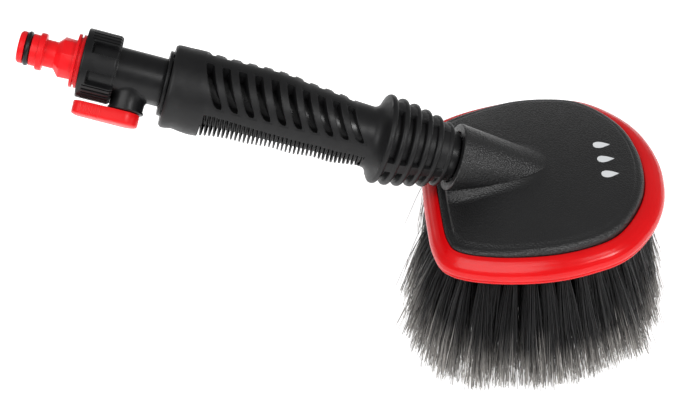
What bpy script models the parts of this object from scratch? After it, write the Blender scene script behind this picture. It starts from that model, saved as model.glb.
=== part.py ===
"""Flow-through wash brush in metres, +Z up, resting on its bristle tips at z = 0.

The head lies level with its nose toward +X. The handle rises from the back of the head toward -X
and carries a ball valve, a swivel nut and a push-fit hose connector at its end.
Lengths below are in millimetres and become metres through MM when a mesh is made.
"""
import math

import bmesh
import bpy
from mathutils import Matrix, Vector

MM = 0.001

# Placement
EDGE_HEIGHT = 72.6  # edge plane of the cover above the bristle tips
NOSE_X = 138.155  # nose of the cover, which centres the bounding box on the origin
HANDLE_TILT = 27.2  # handle axis above the horizontal, degrees
HANDLE_ROOT = (-101.9, 22.4)  # station 0 of the handle, from the nose and the edge plane
STEM_STATION = 149.0  # where the valve stem crosses the handle axis
STEM_DROP = 45.0  # stem axis below sideways, degrees
FIT = 0.3  # gap between neighbouring pieces

# Head outline: half of it, from the middle of the back round the +Y side to the nose
HALF_OUTLINE = (
    (-101.9, 0.0), (-101.4, 24.0), (-99.9, 41.7), (-94.7, 50.9), (-78.0, 57.3),
    (-56.0, 60.2), (-37.5, 58.2), (-22.2, 52.1), (-10.2, 38.3), (-2.7, 21.7), (0.0, 0.0),
)
OUTLINE_POINTS = 36
HEAD_CENTRE = (-51.0, 0.0)
DOME_RISE = 7.5
EDGE_RISE = 3.6  # height of the dome where its rounded edge begins
COVER_FOOT = -9.4  # lower edge of the cover's wall
COVER_WALL = 3.0
LEDGE = -4.0  # the ledge that takes the block's screws
LEDGE_INSET = 9.5
BLOCK_TOP = -5.6
SCREW_INSET = 6.2
SCREW_AT = (3, 9, 15, 21, 27, 33)  # outline points that have a block screw beside them
JET_RINGS = ((10, 0.775), (6, 0.58))  # count and share of the outline
JET_R = 1.1

# Bumper rim: (distance outside the cover, height) round its section
RIM_SECTION = (
    (0.3, 0.3), (2.2, -0.2), (4.4, -1.4), (6.3, -2.9), (7.6, -4.8), (8.0, -6.6), (7.7, -8.0),
    (7.1, -8.5), (7.5, -8.9), (7.5, -9.8), (6.9, -10.3), (0.3, -10.3),
    (0.3, -6.9), (-0.9, -6.9), (-0.9, -5.1), (0.3, -5.1),
)

# Bristle rows: outer and inner share of the outline at the block, the height of the tips above
# the lowest ones, and the number of tufts
BRISTLE_TOP = -9.7
BRISTLE_TIP = -72.6
ROWS = (
    (0.92, 0.83, 4.0, 38), (0.72, 0.63, 1.2, 32), (0.53, 0.44, 0.0, 24),
    (0.34, 0.25, 0.0, 16), (0.15, 0.0, 0.0, 8),
)
# How far the rows splay: degrees from the nose, and growth from the block to the tips
SPLAY = ((0, 1.22), (37, 1.29), (59, 1.37), (90, 1.38), (135, 1.41), (153, 1.56), (180, 1.61))
TUFT_DIP = 0.022  # how far the valleys between tufts cut in, as a share of the outline

# Handle core, in handle stations (mm from the root towards the hose)
TUBE_R = 12.5
TUBE_BORE = 7.2
CONE = ((17.5, -10.6), (12.3, -58.0))  # socket on the cover: radius and station
CONE_FLOOR = -4.8
SPIGOT_R = 10.0
SPIGOT_END = -31.0

# Grip: (station, radius on top, radius below)
GRIP_RINGS = (
    (133.0, 17.2, 19.6), (132.2, 17.8, 20.4), (126.0, 18.1, 21.2), (118.0, 18.3, 20.6),
    (112.5, 17.9, 19.7), (104.0, 18.1, 18.3), (96.0, 18.4, 18.1), (89.0, 18.6, 18.0),
    (81.0, 18.7, 17.1), (74.0, 18.3, 17.4), (66.0, 17.6, 17.7), (58.0, 16.8, 16.8),
    (50.0, 15.9, 17.4), (43.0, 14.9, 16.9), (38.0, 14.4, 16.1), (34.6, 14.3, 15.6),
    (31.6, 15.0, 16.0),
)
RIBS = ((26.8, 22.3), (20.6, 21.75), (14.4, 20.8), (8.1, 19.5), (1.9, 18.15), (-4.4, 16.2))
RIB_HALF = 1.5
POCKET_R = (18.2, 17.6, 17.0, 16.4, 15.8)
GRIP_BORE = 12.8
GRIP_SIDES = 24
WEB_HALF_ANGLE = 8.0
FIN_PITCH = 2.05
FIN_GAP = 1.1
FIN_FROM = 36.27
FIN_COUNT = 37
FIN_ROOT = 14.3
FIN_START = 96.5  # degrees from the top where the fins begin
FIN_STEPS = 8
SLOT_COUNT = 10
SLOT_FIRST = 43.1
SLOT_PITCH = 7.72
SLOT_WIDTH = 3.8
SLOT_ANGLES = (10.0, 69.0)  # upper and lower end, degrees from the top
SLOT_SLANT = 8.4  # the lower end lies this much nearer the head

# Valve
BALL_R = 9.0
BALL_BORE = 4.8
CHAMBER_R = 9.6
TOWER_R = 7.9
TOWER_TOP = 17.8
STEM_R = 3.4
LEVER_BOTTOM = 18.1
LEVER_TOP = 24.5
LEVER_REACH = 23.7

# Swivel nut
NUT_R = 16.25
NUT_FROM = 157.3
NUT_TO = 172.9
NUT_FACING = 50.5  # middle of a smooth panel, degrees from the top toward -Y
PANEL_STEP = 27.0
NUT_RIBS = 10

SKIN = {
    "black_satin": ((0.018, 0.018, 0.019), 0.45, 0.0),
    "black_rubber": ((0.014, 0.014, 0.015), 0.7, 0.0),
    "black_gloss": ((0.012, 0.012, 0.013), 0.18, 0.0),
    "red_gloss": ((0.78, 0.010, 0.014), 0.22, 0.0),
    "red_bright": ((0.86, 0.016, 0.022), 0.3, 0.0),
    "bristle": ((0.03, 0.03, 0.032), 0.6, 0.0),
    "white_seal": ((0.82, 0.82, 0.8), 0.4, 0.0),
    "steel": ((0.56, 0.57, 0.58), 0.28, 1.0),
}


def clear_scene():
    for obj in list(bpy.data.objects):
        bpy.data.objects.remove(obj)


def material(name, skin):
    """A Principled material of its own for one piece."""
    colour, rough, metal = SKIN[skin]
    mat = bpy.data.materials.new(name)
    mat.use_nodes = True
    bsdf = mat.node_tree.nodes["Principled BSDF"]
    bsdf.inputs["Base Color"].default_value = (*colour, 1.0)
    bsdf.inputs["Roughness"].default_value = rough
    bsdf.inputs["Metallic"].default_value = metal
    mat.diffuse_color = (*colour, 1.0)
    return mat


def place(name, mesh, frame, skin=None):
    """An object in a frame. One with a skin is a piece and one without is a cutter."""
    obj = bpy.data.objects.new(name, mesh)
    obj.parent = frame
    if skin:
        parts.objects.link(obj)
        mesh.materials.append(material(name, skin))
    else:
        cutters.objects.link(obj)
        obj.hide_render = True
        obj.display_type = "WIRE"
    return obj


def empty(name, parent, location, rotation):
    """A frame whose columns are given by rotation, for placing pieces along an axis."""
    obj = bpy.data.objects.new(name, None)
    parts.objects.link(obj)
    obj.parent = parent
    obj.location = Vector(location) * MM
    obj.rotation_euler = rotation.to_euler()
    return obj


def boolean(obj, other, operation="DIFFERENCE"):
    mod = obj.modifiers.new(other.name, "BOOLEAN")
    mod.object = other
    mod.operation = operation
    mod.solver = "EXACT"


def turned(name, profile, frame, skin=None, sides=32):
    """A turned piece about its frame's Z from closed (radius, height) points."""
    mesh = bpy.data.meshes.new(name)
    verts = [(r * MM, 0.0, z * MM) for r, z in profile]
    count = len(verts)
    closed = all(r > 0 for r, _ in profile)
    edges = [(i, (i + 1) % count) for i in range(count if closed else count - 1)]
    mesh.from_pydata(verts, edges, [])
    obj = place(name, mesh, frame, skin)
    mod = obj.modifiers.new("turn", "SCREW")
    mod.axis = "Z"
    mod.angle = math.tau
    mod.steps = sides
    mod.render_steps = sides
    mod.use_merge_vertices = True
    mod.merge_threshold = 0.00001
    return obj


def skinned(name, rings, frame, skin=None, wrap=False):
    """A piece whose skin joins rings of equal length. wrap joins the last ring to the first."""
    build = bmesh.new()
    loops = [[build.verts.new(Vector(point) * MM) for point in ring] for ring in rings]
    pairs = list(zip(loops, loops[1:]))
    if wrap:
        pairs.append((loops[-1], loops[0]))
    else:
        build.faces.new(loops[0])
        build.faces.new(loops[-1])
    for upper, lower in pairs:
        for i in range(len(upper)):
            j = (i + 1) % len(upper)
            build.faces.new((lower[i], lower[j], upper[j], upper[i]))
    bmesh.ops.recalc_face_normals(build, faces=build.faces)
    mesh = bpy.data.meshes.new(name)
    build.to_mesh(mesh)
    build.free()
    return place(name, mesh, frame, skin)


def joined(name, blocks, frame, skin=None):
    """Several closed solids in one mesh, each given as a list of rings."""
    build = bmesh.new()
    for rings in blocks:
        loops = [[build.verts.new(Vector(point) * MM) for point in ring] for ring in rings]
        build.faces.new(loops[0])
        build.faces.new(loops[-1])
        for upper, lower in zip(loops, loops[1:]):
            for i in range(len(upper)):
                j = (i + 1) % len(upper)
                build.faces.new((lower[i], lower[j], upper[j], upper[i]))
    bmesh.ops.recalc_face_normals(build, faces=build.faces)
    mesh = bpy.data.meshes.new(name)
    build.to_mesh(mesh)
    build.free()
    return place(name, mesh, frame, skin)


def box(low, high):
    """Two rings of a box, for joined and skinned."""
    (x0, y0, z0), (x1, y1, z1) = low, high
    corners = ((x0, y0), (x1, y0), (x1, y1), (x0, y1))
    return [[(x, y, z) for x, y in corners] for z in (z1, z0)]


def ring_seal(name, mean_r, thick_r, station, frame, skin="black_rubber", sides=20):
    """An O-ring with a round section."""
    steps = 6
    turn = [math.tau * i / steps for i in range(steps)]
    section = [(mean_r + thick_r * math.cos(a), station - thick_r * math.sin(a)) for a in turn]
    return turned(name, section, frame, skin, sides)


# Outline of the head


def smooth_outline():
    """The closed outline: a spline through the given points, evenly spaced from the back round."""
    half = [Vector(p) for p in HALF_OUTLINE]
    knots = half + [Vector((p.x, -p.y)) for p in half[-2:0:-1]]
    fine = []
    for i in range(len(knots)):
        a, b, c, d = (knots[(i + k) % len(knots)] for k in (-1, 0, 1, 2))
        for step in range(24):
            t = step / 24
            curve = 2 * b + (c - a) * t + (2 * a - 5 * b + 4 * c - d) * t * t
            fine.append((curve + (3 * b - a - 3 * c + d) * t ** 3) / 2)
    return fine


def spaced(fine, count):
    """count evenly spaced points of a closed curve, running anticlockwise from above."""
    fine = fine[::-1]
    sides = [(fine[(i + 1) % len(fine)] - p).length for i, p in enumerate(fine)]
    total = sum(sides)
    start = len(fine) - 1
    points = []
    walked = 0.0
    index = 0
    for i in range(count):
        target = total * i / count
        while walked + sides[(start + index) % len(fine)] < target:
            walked += sides[(start + index) % len(fine)]
            index += 1
        here = (start + index) % len(fine)
        t = (target - walked) / sides[here]
        points.append(fine[here].lerp(fine[(here + 1) % len(fine)], t))
    return points


def outwards(points):
    """Unit outward normals at the points of an anticlockwise outline."""
    count = len(points)
    normals = []
    for i in range(count):
        along = (points[(i + 1) % count] - points[i - 1]).normalized()
        normals.append(Vector((along.y, -along.x)))
    return normals


def offset_ring(distance, height):
    """The outline moved outwards by a distance, at a height from the edge plane."""
    return [(*(p + n * distance), height) for p, n in zip(outline, normals)]


def share_ring(share, height, points=None):
    """The outline shrunk to a share of its size about the middle of the head."""
    centre = Vector(HEAD_CENTRE)
    return [(*(centre + (p - centre) * share), height) for p in (points or outline)]


# Head pieces, in the head's frame: nose at the origin, edge plane at z = 0


def head_cover():
    """Domed cover with a wall, a rim groove, a tapered socket for the handle and screw holes."""
    rings = [offset_ring(0.0, COVER_FOOT), offset_ring(0.0, -7.2), offset_ring(-1.3, -7.2)]
    rings += [offset_ring(-1.3, -4.8), offset_ring(0.0, -4.8), offset_ring(0.0, 0.6)]
    rings += [offset_ring(-0.7, 2.4), offset_ring(-2.2, EDGE_RISE - 0.1)]
    for share in (0.91, 0.82, 0.66, 0.46, 0.22):
        rings.append(share_ring(share, EDGE_RISE + (DOME_RISE - EDGE_RISE) * (1 - share * share) + 0.2))
    cover = skinned("head_cover", rings, head, "black_satin")
    hollow = [offset_ring(-COVER_WALL, -30.0), offset_ring(-COVER_WALL, LEDGE)]
    hollow += [offset_ring(-LEDGE_INSET, LEDGE)]
    for share in (0.78, 0.6, 0.4, 0.18):
        hollow.append(share_ring(share, DOME_RISE * (1 - share * share) - 2.6))
    boolean(cover, skinned("cut_cavity", hollow, head))
    (wide, near), (narrow, far) = CONE
    cone = turned("cut_socket_cone", [(0, near), (wide, near), (narrow, far), (0, far)], handle)
    floor = box((-160, -60, -60), (20, 60, CONE_FLOOR))
    boolean(cone, skinned("cut_socket_floor", floor, head))
    boolean(cover, cone, "UNION")
    bore = [(0, 0), (SPIGOT_R + FIT, 0), (SPIGOT_R + FIT, SPIGOT_END - FIT)]
    bore += [(TUBE_BORE, SPIGOT_END - FIT), (TUBE_BORE, -80), (0, -80)]
    boolean(cover, turned("cut_socket_bore", bore, handle, sides=28))
    boolean(cover, screw_holes("cut_cover_screws", 1.7, -0.4))
    return cover


def screw_spots():
    """Centres of the block screws, inside the outline."""
    return [outline[i] - normals[i] * SCREW_INSET for i in SCREW_AT]


def circle(centre, radius, height, sides=8):
    """One horizontal ring of points about a centre."""
    ring = []
    for i in range(sides):
        a = math.tau * i / sides
        x = centre[0] + radius * math.cos(a)
        y = centre[1] + radius * math.sin(a)
        ring.append((x, y, height))
    return ring


def screw_holes(name, radius, top, head_radius=None):
    """Cutters for the screws, with room for their heads when a head radius is given."""
    blocks = []
    for spot in screw_spots():
        rings = [circle(spot, radius, top), circle(spot, radius, -20.0)]
        if head_radius:
            rings = [circle(spot, radius, top), circle(spot, radius, -7.0)]
            rings += [circle(spot, head_radius, -7.0), circle(spot, head_radius, -20.0)]
        blocks.append(rings)
    return joined(name, blocks, head)


def bumper_rim():
    """Soft rim that snaps round the cover with a tongue in the cover's groove."""
    rings = [offset_ring(distance, height) for distance, height in RIM_SECTION]
    return skinned("bumper_rim", rings, head, "red_gloss", wrap=True)


def bristle_block():
    """Flat block that holds the tufts, with water jets between the rows."""
    rings = [offset_ring(-COVER_WALL - FIT, BLOCK_TOP), offset_ring(-COVER_WALL - FIT, COVER_FOOT)]
    block = skinned("bristle_block", rings, head, "black_satin")
    boolean(block, screw_holes("cut_block_screws", 1.7, 0.0, 3.1))
    jets = []
    for count, share in JET_RINGS:
        for i in range(count):
            spot = spaced(fine_outline, count)[i]
            middle = Vector(HEAD_CENTRE)
            spot = middle + (spot - middle) * share
            jets.append([circle(spot, JET_R, 0.0, 6), circle(spot, JET_R, -20.0, 6)])
    boolean(block, joined("cut_jets", jets, head))
    return block


def block_gasket():
    """Flat gasket between the block and the cover's ledge."""
    top = LEDGE - FIT
    foot = BLOCK_TOP + FIT
    rings = [offset_ring(-COVER_WALL - 0.5, top), offset_ring(-COVER_WALL - 0.5, foot)]
    rings += [offset_ring(-LEDGE_INSET + 0.4, foot), offset_ring(-LEDGE_INSET + 0.4, top)]
    gasket = skinned("block_gasket", rings, head, "black_rubber", wrap=True)
    boolean(gasket, screw_holes("cut_gasket_screws", 1.7, 0.0))
    return gasket


def block_screws():
    """Screws that hold the block up against the cover."""
    for number, spot in enumerate(screw_spots(), 1):
        rings = [circle(spot, 1.4, -0.8), circle(spot, 1.4, -7.3)]
        rings += [circle(spot, 2.7, -7.3), circle(spot, 2.7, -9.2)]
        skinned(f"block_screw_{number}", rings, head, "steel")


def splay(point):
    """Growth of a row from the block to its tips, in the direction of an outline point."""
    across = point - Vector(HEAD_CENTRE)
    angle = math.degrees(abs(math.atan2(across.y, across.x)))
    for (low, before), (high, after) in zip(SPLAY, SPLAY[1:]):
        if angle <= high:
            t = (angle - low) / (high - low)
            return before + (after - before) * t * t * (3 - 2 * t)
    return SPLAY[-1][1]


def tufted_ring(share, dip, height, points, splayed):
    """One ring of a row, with a valley between each two tufts."""
    ring = []
    for i, point in enumerate(points):
        here = share - dip if i % 2 else share
        growth = splay(point) if splayed else 1.0
        ring += share_ring(here * growth, height, [point])
    return ring


def bristle_rows():
    """Rows of tufts that splay outwards from the block to the tips."""
    for number, (outer, inner, lift, tufts) in enumerate(ROWS, 1):
        points = spaced(fine_outline, tufts * 2)
        tip = BRISTLE_TIP + lift
        rings = [tufted_ring(outer, TUFT_DIP, BRISTLE_TOP, points, False)]
        rings.append(tufted_ring(outer, TUFT_DIP, tip, points, True))
        if inner:
            rings.append(tufted_ring(inner, -TUFT_DIP, tip, points, True))
            rings.append(tufted_ring(inner, -TUFT_DIP, BRISTLE_TOP, points, False))
        skinned(f"bristle_row_{number}", rings, head, "bristle", wrap=bool(inner))


# Handle pieces, in the handle's frame: Z runs up the handle, X is its upper side


def handle_tube():
    """Rigid core that carries the grip and the water, with a stepped spigot for the head."""
    section = [(TUBE_R, 136.0), (TUBE_R, -10.3), (SPIGOT_R, -10.3), (SPIGOT_R, -16.0)]
    section += [(8.0, -16.0), (8.0, -18.6), (SPIGOT_R, -18.6), (SPIGOT_R, SPIGOT_END)]
    section += [(TUBE_BORE, SPIGOT_END), (TUBE_BORE, 110.0), (9.0, 110.0), (9.0, 136.0)]
    turned("handle_tube", section, handle, "black_gloss", 28)
    ring_seal("socket_o_ring", 9.15, 0.85, -17.3, handle)


def mixed(top, below, angle):
    """Grip radius at an angle from the top."""
    return top + (below - top) * (1 - math.cos(angle)) / 2


def grip_ring(station, top, below):
    """One round of grip points at a station."""
    ring = []
    for i in range(GRIP_SIDES):
        a = math.tau * i / GRIP_SIDES
        r = mixed(top, below, a)
        ring.append((r * math.cos(a), r * math.sin(a), station))
    return ring


def rib_rings():
    """Rings of the ribbed shoulder, from the waist to the head end."""
    rings = []
    for number, (station, radius) in enumerate(RIBS):
        rings.append(grip_ring(station + RIB_HALF, radius - 0.7, radius - 0.7))
        rings.append(grip_ring(station + RIB_HALF * 0.4, radius, radius))
        rings.append(grip_ring(station - RIB_HALF, radius - 0.3, radius - 0.3))
        if number < len(POCKET_R):
            floor = POCKET_R[number]
            below = RIBS[number + 1][0] + RIB_HALF
            rings.append(grip_ring(station - RIB_HALF, floor, floor))
            rings.append(grip_ring(below, floor, floor))
    return rings


def grip_sleeve():
    """Soft grip: slotted above, finned below, with a flared ribbed shoulder at the head end."""
    rings = [grip_ring(*ring) for ring in GRIP_RINGS] + rib_rings()
    last = RIBS[-1][0] - RIB_HALF
    rings += [grip_ring(last, GRIP_BORE, GRIP_BORE), grip_ring(133.0, GRIP_BORE, GRIP_BORE)]
    sleeve = skinned("grip_sleeve", rings, handle, "black_rubber", wrap=True)
    boolean(sleeve, shoulder_webs(), "UNION")
    boolean(sleeve, slot_cutters())
    boolean(sleeve, fin_gaps())
    return sleeve


def shoulder_webs():
    """Webs that join the ribs at the top, the sides and the bottom."""
    blocks = []
    for middle in (0, 90, 180, 270):
        rings = []
        for station, radius in ((RIBS[0][0], 21.7), (RIBS[2][0], 20.1), (RIBS[5][0], 15.7)):
            ring = []
            for side in (-1, 1):
                a = math.radians(middle + side * WEB_HALF_ANGLE)
                ring.append((radius * math.cos(a), radius * math.sin(a), station))
            for side in (1, -1):
                a = math.radians(middle + side * WEB_HALF_ANGLE)
                ring.append((14.2 * math.cos(a), 14.2 * math.sin(a), station))
            rings.append(ring)
        blocks.append(rings)
    return joined("cut_webs", blocks, handle)


def slot_cutters():
    """Slanted slots in two columns on the upper side of the grip."""
    blocks = []
    for side in (-1, 1):
        for number in range(SLOT_COUNT):
            station = SLOT_FIRST + number * SLOT_PITCH
            blocks.append(slot_block(station, side))
    return joined("cut_slots", blocks, handle)


def slot_block(station, side):
    """One slot as rings that run from inside the bore to outside the grip."""
    top, low = (math.radians(a) for a in SLOT_ANGLES)
    half = SLOT_WIDTH / 2
    shift = SLOT_SLANT / 2
    shape = [(top, half - 0.4), (top + 0.03, half), (low - 0.12, half), (low - 0.03, half * 0.6)]
    shape += [(low, 0.0), (low - 0.03, -half * 0.6), (low - 0.12, -half)]
    shape += [(top + 0.03, -half), (top, 0.4 - half)]
    middle = (top + low) / 2
    rings = []
    for radius in (24.0, 12.0):
        ring = []
        for angle, across in shape:
            slide = shift * (middle - angle) / (low - middle)
            a = side * angle
            ring.append((radius * math.cos(a), radius * math.sin(a), station + slide + across))
        rings.append(ring)
    return rings


def fin_gaps():
    """Gaps between the fins, each an arc round the lower side of the grip."""
    blocks = []
    start = math.radians(FIN_START)
    sweep = math.tau - 2 * start
    for number in range(FIN_COUNT):
        low = FIN_FROM + number * FIN_PITCH
        rings = []
        for i in range(FIN_STEPS + 1):
            a = start + sweep * i / FIN_STEPS
            ring = []
            for radius, station in ((25.0, low + FIN_GAP), (25.0, low)):
                ring.append((radius * math.cos(a), radius * math.sin(a), station))
            for radius, station in ((FIN_ROOT, low), (FIN_ROOT, low + FIN_GAP)):
                ring.append((radius * math.cos(a), radius * math.sin(a), station))
            rings.append(ring)
        blocks.append(rings)
    return joined("cut_fin_gaps", blocks, handle)


def grip_end_ring():
    """Hard ring that closes the hose end of the grip."""
    section = [(15.2, 135.9), (15.75, 135.4), (15.75, 133.3), (GRIP_BORE, 133.3), (GRIP_BORE, 135.9)]
    turned("grip_end_ring", section, handle, "black_satin", 28)


def valve_body():
    """Valve body: a spigot in the handle tube, a ball chamber, a stem tower and an inlet."""
    section = [(0, 167.0), (12.3, 167.0), (12.9, 166.4), (12.9, 158.6), (11.5, 157.2)]
    section += [(11.5, 136.3), (8.7, 136.3), (8.7, 120.6), (6.8, 120.6), (6.8, 118.0)]
    section += [(8.7, 118.0), (8.7, 112.0), (0, 112.0)]
    body = turned("valve_body", section, handle, "black_satin", 28)
    tower = [(0, TOWER_TOP), (TOWER_R - 0.4, TOWER_TOP), (TOWER_R, TOWER_TOP - 0.4), (TOWER_R, 5.0)]
    boolean(body, turned("cut_tower", tower + [(0, 5.0)], stem, sides=28), "UNION")
    way = [(0, 168.0), (CHAMBER_R, 168.0), (CHAMBER_R, 139.2), (5.2, 139.2), (5.2, 111.0)]
    boolean(body, turned("cut_waterway", way + [(0, 111.0)], handle))
    hole = [(0, 19.0), (STEM_R + FIT, 19.0), (STEM_R + FIT, 11.2), (4.9, 11.2), (4.9, 4.0), (0, 4.0)]
    boolean(body, turned("cut_stem_hole", hole, stem, sides=20))
    ring_seal("tube_o_ring", 7.9, 0.8, 119.3, handle)


def ball_seats():
    """Seat rings on both sides of the ball, and the ring that holds them in."""
    gap = BALL_R + FIT
    face = [(r, math.sqrt(gap * gap - r * r)) for r in (5.3, 6.8, 8.1)]
    inlet = [(9.3, 9.5), (9.3, 4.7)] + face[::-1] + [(5.3, 9.5)]
    outlet = [(9.3, -4.7), (9.3, -9.5), (5.3, -9.5)] + [(r, -z) for r, z in face]
    for name, section in (("ball_seat_inlet", inlet), ("ball_seat_outlet", outlet)):
        section = [(r, z + STEM_STATION) for r, z in section]
        turned(name, section, handle, "white_seal", 28)
    section = [(9.3, 166.7), (9.3, 158.8), (6.0, 158.8), (6.0, 166.7)]
    turned("seat_retainer", section, handle, "black_satin", 24)


def hose_nipple():
    """Push-fit hose connector with a flange on each side of the nut's shelf."""
    section = [(6.4, 201.8), (7.3, 200.9), (7.3, 199.0), (5.4, 199.0), (5.4, 196.2)]
    section += [(7.3, 196.2), (7.3, 193.1), (8.25, 193.1), (8.65, 192.4), (8.65, 190.9)]
    section += [(8.25, 190.2), (6.3, 190.2), (6.3, 185.1), (9.3, 182.4), (9.3, 177.0)]
    section += [(12.5, 176.7), (12.5, 175.4), (11.0, 175.2), (11.0, 174.7), (12.5, 174.5)]
    section += [(12.5, 173.2), (9.3, 173.2), (9.3, 170.6), (12.7, 170.6), (12.7, 169.0)]
    section += [(6.4, 169.0), (6.4, 181.0), (4.2, 184.0), (4.2, 201.8)]
    turned("hose_nipple", section, handle, "red_bright", 24)
    ring_seal("nipple_o_ring", 6.85, 1.15, 197.6, handle, sides=28)
    washer = [(12.6, 168.7), (12.6, 167.3), (7.5, 167.3), (7.5, 168.7)]
    turned("inlet_washer", washer, handle, "black_rubber", 24)


def nut_cutters():
    """Grip pockets beside the smooth panels and fine grooves between them, open to the valve end."""
    blocks = []
    for side in (0, 180):
        for middle in (-PANEL_STEP, PANEL_STEP):
            blocks.append(nut_cut(side + NUT_FACING + middle, 11.0, 15.1, 170.0))
        first = PANEL_STEP * 1.5 + 5.0
        step = (180 - 2 * first) / (NUT_RIBS - 1)
        for number in range(NUT_RIBS):
            blocks.append(nut_cut(side + NUT_FACING + first + number * step, 2.6, 15.5, 170.4))
    return joined("cut_nut_grip", blocks, handle)


def nut_cut(middle, half, depth_r, end):
    """One wedge-shaped cut at an angle from the top toward -Y."""
    rings = []
    for station in (end, NUT_FROM - 2.0):
        ring = []
        for radius, side in ((18.0, 1), (18.0, -1), (depth_r, -0.8), (depth_r, 0.8)):
            a = -math.radians(middle + side * half)
            ring.append((radius * math.cos(a), radius * math.sin(a), station))
        rings.append(ring)
    return rings


def coupling_nut():
    """Swivel nut that draws the hose connector against the valve inlet."""
    section = [(15.8, NUT_TO), (NUT_R, 172.4), (NUT_R, 159.4), (14.9, NUT_FROM)]
    section += [(13.2, NUT_FROM), (13.2, 170.9), (9.8, 170.9), (9.8, NUT_TO)]
    nut = turned("coupling_nut", section, handle, "black_satin", 40)
    boolean(nut, nut_cutters())


# Pieces that turn with the lever, in the stem's frame: Z out along the stem, X toward the hose


def valve_ball():
    """Ball with a waterway and a slot for the stem's blade."""
    build = bmesh.new()
    bmesh.ops.create_uvsphere(build, u_segments=24, v_segments=14, radius=BALL_R * MM)
    mesh = bpy.data.meshes.new("valve_ball")
    build.to_mesh(mesh)
    build.free()
    ball = place("valve_ball", mesh, stem, "steel")
    ends = []
    for x in (-12.0, 12.0):
        turn = [math.tau * i / 20 for i in range(20)]
        ends.append([(x, BALL_BORE * math.cos(a), BALL_BORE * math.sin(a)) for a in turn])
    boolean(ball, skinned("cut_ball_bore", ends, stem))
    boolean(ball, skinned("cut_ball_slot", box((-3.4, -1.6, 6.6), (3.4, 1.6, 12.0)), stem))


def valve_stem():
    """Stem with a blade in the ball, a shoulder, an O-ring groove and a square drive."""
    section = [(0, 17.8), (STEM_R, 17.8), (STEM_R, 15.4), (2.0, 15.4), (2.0, 13.0), (STEM_R, 13.0)]
    section += [(STEM_R, 10.9), (4.6, 10.9), (4.6, 9.7), (0, 9.7)]
    shaft = turned("valve_stem", section, stem, "steel", 20)
    ends = [box((-3.0, -1.3, 6.9), (3.0, 1.3, 10.2)), box((-2.3, -2.3, 17.2), (2.3, 2.3, 20.7))]
    boolean(shaft, joined("cut_stem_ends", ends, stem), "UNION")
    hole = [(0, 22.0), (1.5, 22.0), (1.5, 15.8), (0, 15.8)]
    boolean(shaft, turned("cut_stem_thread", hole, stem, sides=12))
    ring_seal("stem_o_ring", 2.85, 0.6, 14.2, stem, sides=16)
    screw = [(0, 24.2), (2.2, 24.2), (3.2, 23.6), (3.2, 22.6), (1.2, 22.6), (1.2, 16.2), (0, 16.2)]
    turned("lever_screw", screw, stem, "steel", 16)


def lever_outline(grow=0.0):
    """Outline of the lever: round over the stem and narrower at its rounded tip."""
    ring = []
    for i in range(11):
        a = math.radians(90 + 180 * i / 10)
        ring.append(((7.0 + grow) * math.cos(a), (7.0 + grow) * math.sin(a)))
    for i in range(9):
        a = math.radians(-90 + 180 * i / 8)
        x = LEVER_REACH - 4.4 + (4.4 + grow) * math.cos(a)
        ring.append((x, (5.6 + grow) * math.sin(a)))
    return ring


def valve_lever():
    """Flat lever with finger ridges by its tip."""
    levels = ((LEVER_BOTTOM, -0.5), (LEVER_BOTTOM + 0.5, 0.0), (LEVER_TOP - 1.2, 0.0))
    levels += ((LEVER_TOP - 0.4, -0.5), (LEVER_TOP, -1.4))
    rings = [[(x, y, z) for x, y in lever_outline(grow)] for z, grow in levels[::-1]]
    lever = skinned("valve_lever", rings, stem, "red_gloss")
    cuts = []
    for side in (-1, 1):
        for number in range(6):
            x = 7.0 + number * 2.1
            edge = 7.0 - 1.4 * x / (LEVER_REACH - 4.4)
            low = (x, min(side * (edge - 0.7), side * 9.0), LEVER_BOTTOM - 1)
            high = (x + 0.9, max(side * (edge - 0.7), side * 9.0), LEVER_TOP + 1)
            cuts.append(box(low, high))
    boolean(lever, joined("cut_lever_ridges", cuts, stem))
    holes = [box((-2.6, -2.6, 17.0), (2.6, 2.6, 21.0))]
    holes.append([circle((0, 0), 1.5, 23.0, 12), circle((0, 0), 1.5, 20.0, 12)])
    for number, rings in enumerate(holes, 1):
        boolean(lever, skinned(f"cut_lever_hole_{number}", rings, stem))
    pocket = [circle((0, 0), 3.6, 26.0, 16), circle((0, 0), 3.6, 22.3, 16)]
    boolean(lever, skinned("cut_lever_pocket", pocket, stem))


clear_scene()
parts = bpy.data.collections.new("wash_brush")
cutters = bpy.data.collections.new("cutters")
bpy.context.scene.collection.children.link(parts)
bpy.context.scene.collection.children.link(cutters)

fine_outline = smooth_outline()
outline = spaced(fine_outline, OUTLINE_POINTS)
normals = outwards(outline)

level = Matrix.Identity(3)
head = empty("head_frame", None, (NOSE_X, 0, EDGE_HEIGHT), level)
lean = Matrix.Rotation(math.radians(HANDLE_TILT - 90), 3, "Y")
handle = empty("handle_frame", head, (HANDLE_ROOT[0], 0, HANDLE_ROOT[1]), lean)
drop = math.radians(STEM_DROP)
down, out = -math.sin(drop), -math.cos(drop)
clocked = Matrix(((0, out, down), (0, -down, out), (1, 0, 0)))
stem = empty("stem_frame", handle, (0, 0, STEM_STATION), clocked)

head_cover()
bumper_rim()
bristle_block()
block_gasket()
block_screws()
bristle_rows()
handle_tube()
grip_sleeve()
grip_end_ring()
valve_body()
ball_seats()
hose_nipple()
coupling_nut()
valve_ball()
valve_stem()
valve_lever()
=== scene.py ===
"""Looks of the flow-through wash brush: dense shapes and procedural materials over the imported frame."""
import math

import bmesh
import bpy
import numpy as np
from mathutils import Matrix, Vector


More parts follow.
